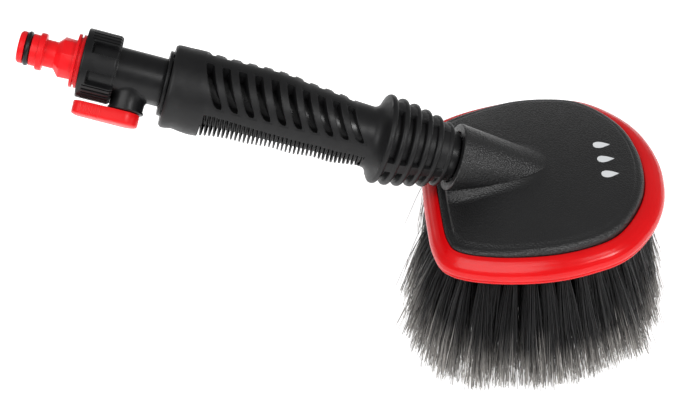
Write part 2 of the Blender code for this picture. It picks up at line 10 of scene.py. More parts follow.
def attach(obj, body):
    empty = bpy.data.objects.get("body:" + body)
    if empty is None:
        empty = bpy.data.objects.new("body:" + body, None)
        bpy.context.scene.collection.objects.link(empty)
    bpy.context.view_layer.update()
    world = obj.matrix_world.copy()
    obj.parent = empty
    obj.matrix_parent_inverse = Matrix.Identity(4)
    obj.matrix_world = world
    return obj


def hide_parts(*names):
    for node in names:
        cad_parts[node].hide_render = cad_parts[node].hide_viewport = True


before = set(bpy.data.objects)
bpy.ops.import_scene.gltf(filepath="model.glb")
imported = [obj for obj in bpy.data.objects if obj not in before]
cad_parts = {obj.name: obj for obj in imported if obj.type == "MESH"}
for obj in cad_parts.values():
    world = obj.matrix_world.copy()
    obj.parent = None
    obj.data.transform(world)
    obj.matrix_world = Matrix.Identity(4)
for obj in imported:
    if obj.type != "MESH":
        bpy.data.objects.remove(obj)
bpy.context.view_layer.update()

# Lengths are in millimetres and angles in degrees. The head frame starts at the nose, EDGE_HEIGHT above
# the floor. Stations run along the handle's axis, from the back of the head towards the hose.
MM = 0.001
EDGE_HEIGHT = 72.6
NOSE_X = 138.155
HANDLE_TILT = 27.2  # of the handle's axis above level
HANDLE_ROOT = (-101.9, 22.4)  # x and z of station 0 in the head frame
STEM_STATION = 149.0
STEM_DROP = 45.0  # of the valve stem, from the near side towards the underside
HALF_OUTLINE = (
    (-101.9, 0.0), (-101.4, 24.0), (-99.9, 41.7), (-94.7, 50.9), (-78.0, 57.3),
    (-56.0, 60.2), (-37.5, 58.2), (-22.2, 52.1), (-10.2, 38.3), (-2.7, 21.7), (0.0, 0.0),
)
HEAD_CENTRE = np.array((-51.0, 0.0))
DOME_RISE = 7.5
DOME_POWER = 2.2
# Height of the cover's edge by the angle from the nose
EDGE_ANGLE = (0, 60, 95, 115, 150, 180)
EDGE_RISE = (3.6, 3.8, 3.9, 2.6, 1.4, 1.4)
rng = np.random.default_rng(7)

# Frames of the head, the handle and the valve stem

head_frame = Matrix.Translation(Vector((NOSE_X, 0, EDGE_HEIGHT)) * MM)
lean = Matrix.Rotation(math.radians(HANDLE_TILT - 90), 4, "Y")
root = Matrix.Translation(Vector((HANDLE_ROOT[0], 0, HANDLE_ROOT[1])) * MM)
handle_frame = head_frame @ root @ lean
drop = math.radians(STEM_DROP)
down, out = -math.sin(drop), -math.cos(drop)
clocked = Matrix(((0, out, down), (0, -down, out), (1, 0, 0))).to_4x4()
stem_frame = handle_frame @ Matrix.Translation((0, 0, STEM_STATION * MM)) @ clocked

# Meshes


def piece(name, verts, faces, where, mat, smooth=True, sharp=35.0):
    """A mesh object from millimetre points in one of the frames."""
    mesh = bpy.data.meshes.new(name)
    if isinstance(faces, np.ndarray):
        faces = faces.tolist()
    mesh.from_pydata((np.asarray(verts) * MM).tolist(), [], faces)
    mesh.validate()
    mesh.update()
    if smooth:
        mesh.polygons.foreach_set("use_smooth", [True] * len(mesh.polygons))
        if sharp:
            mesh.set_sharp_from_angle(angle=math.radians(sharp))
    mesh.materials.append(mat)
    obj = bpy.data.objects.new(name, mesh)
    bpy.context.scene.collection.objects.link(obj)
    obj.matrix_world = where
    return obj


def grid_faces(rows, cols, wrap_rows=False, base=0):
    """Quads of a grid of rings. Rings run along the columns and always close."""
    last = rows if wrap_rows else rows - 1
    i = np.arange(last)[:, None]
    j = np.arange(cols)[None, :]
    a = i * cols + j
    b = i * cols + (j + 1) % cols
    c = ((i + 1) % rows) * cols + (j + 1) % cols
    d = ((i + 1) % rows) * cols + j
    return np.stack([d, c, b, a], -1).reshape(-1, 4) + base


def rounded(profile, radius=0.25, steps=3):
    """The closed profile with its corners rounded."""
    points = [np.array(p, float) for p in profile]
    made = []
    for i, p in enumerate(points):
        before, after = points[i - 1], points[(i + 1) % len(points)]
        u, v = before - p, after - p
        lu, lv = np.linalg.norm(u), np.linalg.norm(v)
        if lu < 1e-6 or lv < 1e-6:
            continue
        cut = min(radius, lu * 0.4, lv * 0.4)
        a, b = p + u / lu * cut, p + v / lv * cut
        for k in range(steps + 1):
            t = k / steps
            made.append((1 - t) ** 2 * a + 2 * t * (1 - t) * p + t * t * b)
    return np.array(made)


def circle(sides):
    return np.arange(sides) * math.tau / sides


def spun(section, sides):
    """Rings of points from a (radius, height) section turned about Z."""
    a = circle(sides)
    x = section[:, 0:1] * np.cos(a)
    y = section[:, 0:1] * np.sin(a)
    z = np.repeat(section[:, 1:2], sides, 1)
    return np.stack([x, y, z], -1)


def turned(name, profile, where, mat, sides=96, radius=0.25, steps=3):
    """A turned piece from a closed (radius, height) profile about the frame's Z."""
    section = rounded(profile, radius, steps)
    verts = spun(section, sides).reshape(-1, 3)
    return piece(name, verts, grid_faces(len(section), sides, True), where, mat, sharp=50)


def ring_seal(name, mean_r, thick_r, station, where, mat):
    """An O-ring about the frame's Z."""
    a = circle(16)
    section = np.stack([mean_r + thick_r * np.cos(a), station - thick_r * np.sin(a)], -1)
    return turned(name, section, where, mat, 96, 0.01, 1)


def step(x, low, high):
    """Smooth rise from 0 at low to 1 at high."""
    t = np.clip((x - low) / (high - low), 0, 1)
    return t * t * (3 - 2 * t)


# Outline of the head

RING = 240  # points round the outline
KNOT_STEPS = 40
SMOOTHINGS = 6


def smooth_outline(count):
    """Evenly spaced points on the closed outline, anticlockwise from the back, and their normals."""
    half = [np.array(p) for p in HALF_OUTLINE]
    knots = half + [np.array((p[0], -p[1])) for p in half[-2:0:-1]]
    n = len(knots)
    fine = []
    for i in range(n):
        a, b, c, d = (knots[(i + k) % n] for k in (-1, 0, 1, 2))
        for k in range(KNOT_STEPS):
            t = k / KNOT_STEPS
            curve = 2 * b + (c - a) * t + (2 * a - 5 * b + 4 * c - d) * t * t
            fine.append((curve + (3 * b - a - 3 * c + d) * t ** 3) / 2)
    fine = np.array(fine[::-1] + fine[-1:])
    fine = np.roll(fine[:-1], 1, axis=0)
    ring = np.vstack([fine, fine[:1]])
    for _ in range(SMOOTHINGS):
        body = ring[:-1]
        body = (np.roll(body, 1, 0) + 2 * body + np.roll(body, -1, 0)) / 4
        ring = np.vstack([body, body[:1]])
    walked = np.r_[0, np.cumsum(np.hypot(*np.diff(ring, axis=0).T))]
    at = np.linspace(0, walked[-1], count, endpoint=False)
    points = np.stack([np.interp(at, walked, ring[:, k]) for k in (0, 1)], -1)
    along = np.roll(points, -1, 0) - np.roll(points, 1, 0)
    along /= np.linalg.norm(along, axis=1, keepdims=True)
    return points, np.stack([along[:, 1], -along[:, 0]], -1)


outline, normals = smooth_outline(RING)
spokes = outline - HEAD_CENTRE
bearings = np.arctan2(*spokes.T[::-1])


def offset_ring(distance, height):
    """The outline moved outwards."""
    return np.column_stack([outline + normals * distance, np.full(RING, height)])


def share_ring(share, height):
    """The outline shrunk about the head's centre."""
    return np.column_stack([HEAD_CENTRE + spokes * share, np.full(RING, height)])


def edge_rise(points):
    """Height of the cover where its rounded edge begins; lower towards the handle."""
    spoke = points - HEAD_CENTRE
    angle = np.degrees(np.abs(np.arctan2(spoke[:, 1], spoke[:, 0])))
    return np.interp(angle, EDGE_ANGLE, EDGE_RISE)


def dome_height(share, points=None):
    """Height of the cover at a share of the way from the head's centre to its edge."""
    edge = edge_rise(outline if points is None else points)
    return edge + (DOME_RISE - edge) * (1 - share ** DOME_POWER)


# Materials


def nodes_of(mat):
    mat.use_nodes = True
    tree = mat.node_tree
    return tree, tree.nodes["Principled BSDF"]


def add(tree, kind, **inputs):
    node = tree.nodes.new(kind)
    for key, value in inputs.items():
        node.inputs[key.replace("_", " ")].default_value = value
    return node


def noise(tree, vector, scale, detail=3.0, rough=0.55):
    node = add(tree, "ShaderNodeTexNoise", Scale=scale, Detail=detail, Roughness=rough)
    tree.links.new(vector, node.inputs["Vector"])
    return node.outputs["Fac"]


def ramp(tree, value, low, high, lo_out, hi_out):
    node = tree.nodes.new("ShaderNodeMapRange")
    node.inputs["From Min"].default_value = low
    node.inputs["From Max"].default_value = high
    node.inputs["To Min"].default_value = lo_out
    node.inputs["To Max"].default_value = hi_out
    tree.links.new(value, node.inputs["Value"])
    return node.outputs["Result"]


def mix(tree, factor, a, b):
    node = tree.nodes.new("ShaderNodeMix")
    node.data_type = "RGBA"
    tree.links.new(factor, node.inputs[0])
    for socket, value in ((node.inputs[6], a), (node.inputs[7], b)):
        if isinstance(value, tuple):
            socket.default_value = (*value, 1.0)
        else:
            tree.links.new(value, socket)
    return node.outputs[2]


def bump(tree, height, strength, distance, normal=None):
    node = add(tree, "ShaderNodeBump", Strength=strength, Distance=distance)
    tree.links.new(height, node.inputs["Height"])
    if normal is not None:
        tree.links.new(normal, node.inputs["Normal"])
    return node.outputs["Normal"]


def plastic(name, dark, light, rough, grain=0.0, grain_size=900.0, spec=0.5, wear=0.06):
    """Moulded plastic or rubber: uneven colour and sheen, with optional fine grain."""
    mat = bpy.data.materials.new(name)
    tree, bsdf = nodes_of(mat)
    where = tree.nodes.new("ShaderNodeTexCoord").outputs["Object"]
    cloud = noise(tree, where, 38.0, 4.0)
    colour = mix(tree, ramp(tree, cloud, 0.35, 0.68, 0.0, 1.0), dark, light)
    tree.links.new(colour, bsdf.inputs["Base Color"])
    fine = noise(tree, where, 260.0, 5.0)
    tree.links.new(ramp(tree, fine, 0.3, 0.7, rough - wear, rough + wear), bsdf.inputs["Roughness"])
    normal = bump(tree, noise(tree, where, 140.0, 2.0), 0.06, 0.0006)
    if grain:
        normal = bump(tree, noise(tree, where, grain_size, 2.0, 0.5), grain, 0.0004, normal)
    tree.links.new(normal, bsdf.inputs["Normal"])
    bsdf.inputs["Specular IOR Level"].default_value = spec
    return mat


def leather_grain(name):
    """Moulded cover with a pebbled grain."""
    mat = bpy.data.materials.new(name)
    tree, bsdf = nodes_of(mat)
    where = tree.nodes.new("ShaderNodeTexCoord").outputs["Object"]
    cloud = noise(tree, where, 30.0, 4.0)
    patches = ramp(tree, cloud, 0.35, 0.7, 0.0, 1.0)
    colour = mix(tree, patches, (0.008, 0.008, 0.0084), (0.0115, 0.0115, 0.012))
    tree.links.new(colour, bsdf.inputs["Base Color"])
    cells = add(tree, "ShaderNodeTexVoronoi", Scale=1250.0, Randomness=1.0)
    tree.links.new(where, cells.inputs["Vector"])
    pebble = bump(tree, cells.outputs["Distance"], 0.55, 0.00045)
    pebble = bump(tree, noise(tree, where, 2400.0, 2.0), 0.25, 0.0002, pebble)
    tree.links.new(pebble, bsdf.inputs["Normal"])
    tree.links.new(ramp(tree, cells.outputs["Distance"], 0.1, 0.8, 0.28, 0.46), bsdf.inputs["Roughness"])
    bsdf.inputs["Specular IOR Level"].default_value = 0.55
    return mat


def metal(name):
    """Turned stainless steel."""
    mat = bpy.data.materials.new(name)
    tree, bsdf = nodes_of(mat)
    where = tree.nodes.new("ShaderNodeTexCoord").outputs["Object"]
    colour = mix(tree, noise(tree, where, 300.0), (0.5, 0.51, 0.52), (0.66, 0.66, 0.65))
    tree.links.new(colour, bsdf.inputs["Base Color"])
    sheen = ramp(tree, noise(tree, where, 900.0), 0.3, 0.7, 0.2, 0.36)
    tree.links.new(sheen, bsdf.inputs["Roughness"])
    bsdf.inputs["Metallic"].default_value = 1.0
    return mat


def filament(name):
    """Bristle: black, with a pale grey flagged tip."""
    mat = bpy.data.materials.new(name)
    tree, bsdf = nodes_of(mat)
    tip = tree.nodes.new("ShaderNodeAttribute")
    tip.attribute_name = "tip"
    tone = tree.nodes.new("ShaderNodeAttribute")
    tone.attribute_name = "tone"
    pale = mix(tree, tone.outputs["Fac"], (0.16, 0.15, 0.142), (0.80, 0.76, 0.71))
    black = mix(tree, tone.outputs["Fac"], (0.004, 0.004, 0.0045), (0.016, 0.016, 0.017))
    tree.links.new(mix(tree, tip.outputs["Fac"], black, pale), bsdf.inputs["Base Color"])
    tree.links.new(ramp(tree, tone.outputs["Fac"], 0.0, 1.0, 0.34, 0.5), bsdf.inputs["Roughness"])
    return mat


satin = plastic("satin_black",
                (0.0045, 0.0045, 0.005), (0.007, 0.007, 0.0075), 0.36, 0.08, 1600.0, spec=0.28)
rubber = plastic("grip_rubber",
                 (0.0065, 0.0065, 0.007), (0.009, 0.009, 0.0095), 0.44, 0.1, 1900.0, spec=0.28)
gloss = plastic("gloss_black", (0.005, 0.005, 0.0055), (0.008, 0.008, 0.0085), 0.3, spec=0.4)
seal = plastic("seal_rubber", (0.005, 0.005, 0.005), (0.008, 0.008, 0.008), 0.32, spec=0.3)
red_rim = plastic("rim_red", (0.66, 0.002, 0.004), (0.72, 0.004, 0.006), 0.22, wear=0.04, spec=0.3)
red_lever = plastic("lever_red", (0.72, 0.006, 0.008), (0.79, 0.009, 0.011), 0.34, spec=0.25)
red_nipple = plastic("nipple_red", (0.78, 0.007, 0.011), (0.85, 0.010, 0.015), 0.34, spec=0.25)
white_seat = plastic("seat_white", (0.74, 0.74, 0.72), (0.84, 0.84, 0.82), 0.35)
print_white = plastic("print_white", (0.72, 0.74, 0.76), (0.84, 0.85, 0.86), 0.45)
cover_skin = leather_grain("pebbled_black")
steel = metal("turned_steel")
hair = filament("filament")

# Head

# Socket cone: (depth into the head from station 0, radius) at its mouth and at its far end
SOCKET_MOUTH = (10.6, 17.2)
SOCKET_END = (60.0, 12.3)
SOCKET_BORE = [(7.2, -60.0), (7.2, -31.3), (10.3, -31.3), (10.3, -13.0), (12.8, -13.0), (12.8, -10.6)]
SOCKET_FLOOR = -4.8  # the cone is cut flat here, inside the shell
FILLET_WIDTH = 5.5
COVER_FOOT = -9.4
COVER_WALL = 3.0
EDGE_INSET = 3.6
EDGE_STEPS = 10


def socket_fillet(points):
    """Extra height where the plate sweeps up into the flank of the socket cone."""
    x, y, z = points.T
    tilt = math.radians(HANDLE_TILT)
    station = -(x - HANDLE_ROOT[0]) * math.cos(tilt) + (z - HANDLE_ROOT[1]) * math.sin(tilt)
    offset = (x - HANDLE_ROOT[0]) * math.sin(tilt) + (z - HANDLE_ROOT[1]) * math.cos(tilt)
    radius = np.interp(-station, *zip(SOCKET_MOUTH, SOCKET_END))
    lift = np.clip(np.interp(offset, [-12, 0, 8, 12], [4.2, 2.4, 1.0, 0.0]), 0, 5)
    level = np.where(offset < 0, np.minimum(offset + lift, 0), offset)
    foot = np.sqrt(np.clip(radius ** 2 - level ** 2, 0, None))
    away = np.clip((np.abs(y) - foot) / FILLET_WIDTH, 0, 1)
    rear = step(x, -100.5, -96.5)
    return lift * (1 - away) ** 2 * rear * step(foot, 1.0, 7.0)


def build_cover():
    """Domed shell with a rounded edge, and the tapered socket that the handle plugs into."""
    outside = [(-COVER_WALL, COVER_FOOT), (-0.4, COVER_FOOT), (0.0, -9.0), (0.0, -6.0), (0.0, -0.6)]
    rings = [offset_ring(*place) for place in outside]
    for k in range(EDGE_STEPS + 1):
        a = k / EDGE_STEPS * math.pi / 2
        ring = offset_ring(-EDGE_INSET * (1 - math.cos(a)) ** 1.1, 0.3)
        ring[:, 2] += (edge_rise(outline) - 0.35) * math.sin(a)
        rings.append(ring)
    for share in np.linspace(0.915, 0.0, 80):
        ring = share_ring(share, dome_height(share))
        ring[:, 2] += socket_fillet(ring)
        rings.append(ring)
    for share in np.linspace(0.0, 0.8, 12):
        rings.append(share_ring(share, dome_height(share) - COVER_WALL))
    rings += [offset_ring(-9.5, -4.0), offset_ring(-COVER_WALL, -4.0)]
    verts = np.vstack(rings)
    faces = grid_faces(len(rings), RING, True)
    sides = 160
    flank = [(radius, -station) for station, radius in (SOCKET_MOUTH, SOCKET_END)]
    section = rounded(flank + SOCKET_BORE, 1.1, 5)
    cone = spun(section, sides).reshape(-1, 3)
    place = np.array(head_frame.inverted() @ handle_frame)
    cone = cone @ place[:3, :3].T + place[:3, 3] / MM
    cone[:, 2] = np.maximum(cone[:, 2], SOCKET_FLOOR)
    faces = np.vstack([faces, grid_faces(len(section), sides, True, len(verts))])
    return piece("cover_shell", np.vstack([verts, cone]), faces, head_frame, cover_skin, sharp=40)


# Rim section as (distance outside the outline, height), then its width and its lift at the cover by
# the angle from the nose
RIM_CORNERS = (
    (0.15, -0.9), (2.2, -0.7), (4.3, -1.4), (6.2, -2.8), (7.5, -4.6), (8.0, -6.6), (7.8, -8.0),
    (7.2, -8.5), (7.55, -8.95), (7.5, -9.8), (6.9, -10.3), (0.15, -10.3),
    (0.15, -6.9), (-0.9, -6.9), (-0.9, -5.1), (0.15, -5.1),
)
RIM_ANGLE = (0, 40, 75, 180)
RIM_GROWTH = (1.28, 1.2, 1.0, 1.0)
RIM_LIFT_ANGLE = (0, 60, 95, 180)
RIM_LIFT = (0.4, 0.6, 1.7, 1.7)


def build_rim():
    """Bumper rim with a small lip above its lower edge."""
    section = rounded(RIM_CORNERS, 0.7, 4)
    facing = np.degrees(np.abs(bearings))
    wider = np.interp(facing, RIM_ANGLE, RIM_GROWTH)[:, None]
    lift = np.interp(facing, RIM_LIFT_ANGLE, RIM_LIFT)
    rings = []
    for d, h in section:
        reach = d * wider if d > 0.5 else d
        raised = lift * np.clip(1 - d / 5.0, 0, 1) if h > -3.5 else 0.0
        rings.append(np.column_stack([outline + normals * reach, h + raised * np.ones(RING)]))
    faces = grid_faces(len(rings), RING, True)
    return piece("rim_bumper", np.vstack(rings), faces, head_frame, red_rim, sharp=60)


DROPS_AT = (-17.5, -3.0)
DROP_PITCH = 11.5
DROP_SIZE = 3.4
DROP_SIDES = 48
DROP_FACES = (0.12, -0.3)  # heights of the top and the bottom over the dome


def build_mark():
    """Three small printed water drops near the nose, lying just over the dome."""
    a = circle(DROP_SIDES)
    order = np.argsort(bearings)
    x = DROP_SIZE * 1.25 * np.cos(a)
    y = DROP_SIZE * np.sin(a) * np.sin(a / 2) ** 1.3
    verts, faces = [], []
    for k in (-1, 0, 1):
        flat = np.column_stack([DROPS_AT[0] + x, DROPS_AT[1] + k * DROP_PITCH + y])
        spoke = flat - HEAD_CENTRE
        bearing = np.arctan2(spoke[:, 1], spoke[:, 0])
        edge = np.interp(bearing, bearings[order], np.hypot(*spokes.T)[order])
        reach = np.hypot(*spoke.T) / edge
        top = len(verts) * DROP_SIDES
        low = top + DROP_SIDES
        for first, lift in zip((top, low), DROP_FACES):
            faces.append(list(range(first, first + DROP_SIDES)))
            verts.append(np.column_stack([flat, dome_height(reach, flat) + lift]))
        for i in range(DROP_SIDES):
            j = (i + 1) % DROP_SIDES
            faces.append([low + i, low + j, top + j, top + i])
    return piece("printed_drops", np.vstack(verts), faces, head_frame, print_white, smooth=False)


# Rings of tufts: share of the outline, tufts in the ring, filaments in a tuft
TUFT_RINGS = (
    (0.885, 46, 120), (0.74, 38, 100), (0.60, 31, 60), (0.46, 24, 50),
    (0.32, 17, 45), (0.18, 9, 45), (0.03, 2, 45),
)
# How far the tips spread, by the angle from the nose; positive angles are on the far side
SPLAY_ANGLE = (-180, -166, -153, -135, -90, -59, -37, 0, 37, 59, 90, 135, 153, 167, 180)
SPLAY = (1.58, 1.62, 1.60, 1.50, 1.42, 1.34, 1.20, 1.15, 1.20, 1.32, 1.40, 1.32, 1.24, 1.34, 1.58)
HAIR_LENGTH = 66.5
HAIR_STEPS = 7
HAIR_SIDES = 3
HAIR_RADIUS = 0.23
ROOT_Z = -9.0
TIP_Z = -72.4
TUFT_RADIUS = 1.9
TUFT_FAN = 5.8


def build_bristles():
    """Tufts of fine tapered filaments that splay outwards."""
    starts, ends, tones = [], [], []
    for share, count, hairs in TUFT_RINGS:
        at = (np.arange(count) + rng.uniform(0, 1)) / count * RING
        for k in at:
            k = (k + rng.normal(0, 0.45)) % RING
            i = int(k) % RING
            spoke = spokes[i]
            base = HEAD_CENTRE + spoke * (share + rng.normal(0, 0.006))
            growth = np.interp(math.degrees(math.atan2(spoke[1], spoke[0])), SPLAY_ANGLE, SPLAY)
            aim = HEAD_CENTRE + spoke * share * (growth + rng.normal(0, 0.03))
            aim += rng.normal(0, 1.6, 2)
            a = rng.uniform(0, math.tau, hairs)
            r = np.sqrt(rng.uniform(0, 1, hairs))
            disc = np.stack([np.cos(a), np.sin(a)], -1) * r[:, None]
            start = np.column_stack([base + disc * TUFT_RADIUS, np.full(hairs, ROOT_Z)])
            fan = disc * TUFT_FAN + rng.normal(0, 1.9, (hairs, 2))
            length = HAIR_LENGTH - np.abs(rng.normal(0, 2.6, hairs))
            drop_z = np.sqrt(length ** 2 - np.sum((aim + fan - base) ** 2, 1))
            end = np.column_stack([aim + fan, np.maximum(ROOT_Z - drop_z, TIP_Z)])
            starts.append(start)
            ends.append(end)
            tones.append(np.clip(rng.normal(0.45, 0.26, hairs), 0, 1))
    start, end, tone = np.vstack(starts), np.vstack(ends), np.concatenate(tones)
    count, steps, sides = len(start), HAIR_STEPS, HAIR_SIDES
    t = np.linspace(0, 1, steps)
    side = rng.normal(0, 1, (count, 3))
    line = end - start
    side -= line * (np.sum(side * line, 1) / np.sum(line * line, 1))[:, None]
    side /= np.linalg.norm(side, axis=1, keepdims=True)
    sway = rng.normal(0, 1.3, count)
    outward = np.column_stack([start[:, :2] - HEAD_CENTRE, np.zeros(count)]) / 60.0
    path = start[:, None] + line[:, None] * t[None, :, None]
    path += side[:, None] * (sway[:, None] * np.sin(t * math.pi)[None])[..., None]
    bow = np.interp(start[:, 0], [-95, -60, -20], [3.4, 2.4, 0.6])
    path += outward[:, None] * bow[:, None, None] * np.sin(t ** 0.8 * math.pi)[None, :, None]
    kink = rng.normal(0, 0.5, (count, 3)) * [1, 1, 0]
    path += kink[:, None] * (t ** 4)[None, :, None]
    across = np.cross(line, side)
    across /= np.linalg.norm(across, axis=1, keepdims=True)
    radius = HAIR_RADIUS * (1 - 0.4 * t)
    a = circle(sides)[None, None, :, None]
    ring = side[:, None, None] * np.cos(a) + across[:, None, None] * np.sin(a)
    verts = path[:, :, None] + ring * radius[None, :, None, None]
    verts = verts.reshape(-1, 3)
    per = steps * sides
    i = np.arange(steps - 1)[:, None] * sides
    j = np.arange(sides)[None]
    following = (j + 1) % sides
    quad = np.stack([i + j, i + following, i + sides + following, i + sides + j], -1).reshape(-1, 4)
    first = (np.arange(count) * per)[:, None, None]
    faces = (quad[None] + first).reshape(-1, 4)
    cap = np.array([[2, 1, 0], [per - 3, per - 2, per - 1]])
    caps = (cap[None] + first).reshape(-1, 3)
    obj = piece("bristles", verts, faces.tolist() + caps.tolist(), head_frame, hair, sharp=0)
    paler = np.interp(start[:, 0], [-95, -75, -35, -12], [0.2, 0.0, 0.0, 0.1])
    begin = rng.normal(0.70, 0.07, count) - paler * rng.uniform(0, 1.3, count)
    value = np.clip((t[None] - begin[:, None]) / 0.18, 0, 1) * rng.uniform(0.4, 1.0, count)[:, None]
    value = np.repeat(value[:, :, None], sides, 2).reshape(-1)
    shade = np.repeat(tone, per)
    for key, data in (("tip", value), ("tone", shade)):
        attr = obj.data.attributes.new(key, "FLOAT", "POINT")
        attr.data.foreach_set("value", data.astype(np.float32))
    return obj


# Handle

# Outline of the grip as (station, radius), on top and underneath
GRIP_TOP = (
    (28.3, 21.6), (29.3, 18.6), (30.6, 16.2), (32.0, 14.9), (33.7, 14.3), (43, 14.7), (51, 16.1),
    (60, 17.1), (68, 17.8), (75, 19.1), (82.5, 19.6), (90, 19.6), (97, 19.4), (110, 19.1),
    (119.6, 19.4), (130.5, 19.1), (132.0, 18.9), (132.7, 18.4), (133.0, 17.8),
)
GRIP_BELOW = (
    (28.3, 21.6), (29.3, 19.0), (30.6, 17.3), (32.0, 16.1), (34.9, 15.7), (39.7, 16.3), (49, 17.5),
    (59, 16.7), (68, 17.8), (80, 17.0), (90, 18.1), (100, 18.1), (108, 18.9), (113, 19.9),
    (115, 20.7), (119, 20.9), (123, 20.5), (126.5, 19.9), (130, 20.6), (131.8, 20.7),
    (132.6, 20.0), (133.0, 19.3),
)
GRIP_FROM, GRIP_TO = -6.1, 133.0
GRIP_STEP = 0.2
GRIP_COLUMNS = 320
GRIP_BORE = 12.7
# Slots: their floor's radius, their stations, and their ends in degrees from the top
SLOT_FLOOR = 12.2
SLOT_FIRST = 43.1
SLOT_PITCH = 7.72
SLOT_COUNT = 10
SLOT_HALF = 1.9
SLOT_TOP, SLOT_LOW = 8, 72
SLOT_SLIDE, SLOT_SLANT = 4.2, 8.4
FAR_SHIFT = 9.0  # the far column of slots lies this much further round
LIP_HALF = 2.3
LIP_DEPTH = 0.18
# Fins
FIN_FROM, FIN_TO = 35.0, 114.7
FIN_PHASE = 35.2
FIN_PITCH = 2.07
FIN_LEAN = 0.13
FIN_RADIUS = 18.0
FIN_BEARING = 50.0  # the fins' planes lean towards this angle from the top
FIN_SPAN = (35, 113)  # stations at which the fins' upper edge and root are given
# Ribs of the shoulder as (station, radius), from the grip towards the head
RIBS = ((26.8, 22.3), (20.6, 21.75), (14.4, 20.8), (8.1, 19.5), (1.9, 18.15), (-4.4, 16.2))
RIB_HALF = 1.55
RIB_DROP = 1.3
RIB_FLOOR = (15.6, 18.1)
SHOULDER_TO = 28.4


def smooth_curve(points, at, width=1.2):
    """A softened line through (station, radius) points."""
    s, r = np.array(sorted(points)).T
    fine = np.arange(s[0] - 5, s[-1] + 5, 0.1)
    value = np.interp(fine, s, r)
    half = max(1, int(width / 0.1))
    kernel = np.hanning(2 * half + 1)
    value = np.convolve(np.pad(value, half, "edge"), kernel / kernel.sum(), "valid")
    return np.interp(at, fine, value)


def build_grip():
    """Grip sleeve as a fine polar grid with slots above, fins below and a ribbed shoulder."""
    q = np.append(np.arange(GRIP_FROM, GRIP_TO + 0.01, GRIP_STEP), GRIP_TO)
    cols = GRIP_COLUMNS
    th = circle(cols)
    fold = np.degrees(np.minimum(th, math.tau - th))
    Q, F = np.meshgrid(q, fold, indexing="ij")
    T = np.broadcast_to(th, Q.shape)
    far = np.where(th < math.pi, FAR_SHIFT, 0.0)
    run = np.clip((fold - far - SLOT_TOP) / (SLOT_LOW - SLOT_TOP), 0, 1.1)
    slide = SLOT_SLIDE - SLOT_SLANT * (0.35 * run + 0.65 * run ** 2)
    window = step(q, 29.5, 39.0) * (1 - step(q, 115.0, 131.0))
    S = Q + slide[None] * window[:, None]
    top = smooth_curve(GRIP_TOP, S.ravel()).reshape(S.shape)
    low = smooth_curve(GRIP_BELOW, S.ravel()).reshape(S.shape)
    R = top + (low - top) * (1 - np.cos(T)) / 2
    # slots
    G = F - far[None]
    k = np.round((Q - SLOT_FIRST) / SLOT_PITCH)
    inside = (k >= 0) & (k < SLOT_COUNT)
    dq = np.abs(Q - SLOT_FIRST - k * SLOT_PITCH)
    end = np.where(G > 64, np.sqrt(np.clip(1 - ((G - 64) / 8.0) ** 2, 0, 1)), 1.0)
    end = np.where(G < 12, np.clip((G - 7.5) / 3.0, 0, 1) ** 0.4, end)
    slot = inside & (dq < SLOT_HALF * end) & (G > SLOT_TOP) & (G < SLOT_LOW)
    lip = inside & (dq < LIP_HALF) & (G > SLOT_TOP - 1.5) & (G < SLOT_LOW + 2) & ~slot
    R = np.where(lip, R - LIP_DEPTH, R)
    R = np.where(slot, SLOT_FLOOR, R)
    # fins
    edge = np.interp(S, FIN_SPAN, [99.0, 84.0])
    area = (S > FIN_FROM) & (S < FIN_TO)
    fade = step(F, edge, edge + 3.0) * area
    around = np.radians(np.where(far > 0, -fold, fold) - FIN_BEARING)
    lean_by = FIN_LEAN * FIN_RADIUS * np.cos(around)
    phase = ((S - lean_by[None] - FIN_PHASE) / FIN_PITCH) % 1.0
    fin = 1 - step(np.abs(phase - 0.5), 0.19, 0.27)
    floor = np.interp(S, FIN_SPAN, [13.9, 14.4])
    finned = floor + (R - floor) * fin
    R = R + (finned - R) * fade
    # ribbed shoulder
    shoulder = S < SHOULDER_TO
    last, first = RIBS[-1][0], RIBS[0][0]
    floor = np.interp(S, [last, first], RIB_FLOOR) - RIB_DROP * step(F, 98, 110)
    rim = np.zeros_like(S)
    for station, radius in RIBS:
        d = np.abs(S - station) / RIB_HALF
        crown = radius - RIB_DROP + RIB_DROP * np.sqrt(np.clip(1 - d ** 2.6, 0, 1))
        rim = np.maximum(rim, np.where(d < 1, crown, 0))
    s_r, r_r = np.array(sorted(RIBS)).T
    web_r = np.interp(S, s_r, r_r) - 0.3
    quarter = np.abs((F + 45) % 90 - 45)
    web = (1 - step(quarter, 7.4, 8.6)) * (S > last)
    ribbed = np.maximum(np.maximum(rim, floor), floor + (web_r - floor) * web)
    flare = np.minimum(np.maximum(ribbed, 21.4), RIBS[0][1])
    R = np.where(shoulder, np.where(S > first, flare, ribbed), R)
    R = np.where(S < -5.85, 14.0, R)
    R[0] = R[-1] = GRIP_BORE
    verts = np.stack([R * np.cos(T), R * np.sin(T), S], -1).reshape(-1, 3)
    faces = grid_faces(len(q), cols)[:, ::-1]
    return piece("grip", verts, faces, handle_frame, rubber, sharp=42)


NUT_FROM, NUT_TO = 157.0, 172.9
NUT_RADIUS = 16.25
NUT_COLUMNS = 720
NUT_TURN = 50.5  # where the first smooth panel lies, in degrees
NUT_BORE = ((9.8, 172.9), (9.8, 170.9), (13.2, 170.9), (13.2, 157.0))
POCKET_DEPTH = 2.6
RIBS_FROM = 41.5  # degrees from a panel's middle
RIBS_PITCH = 8.82
GROOVE_DEPTH = 0.85


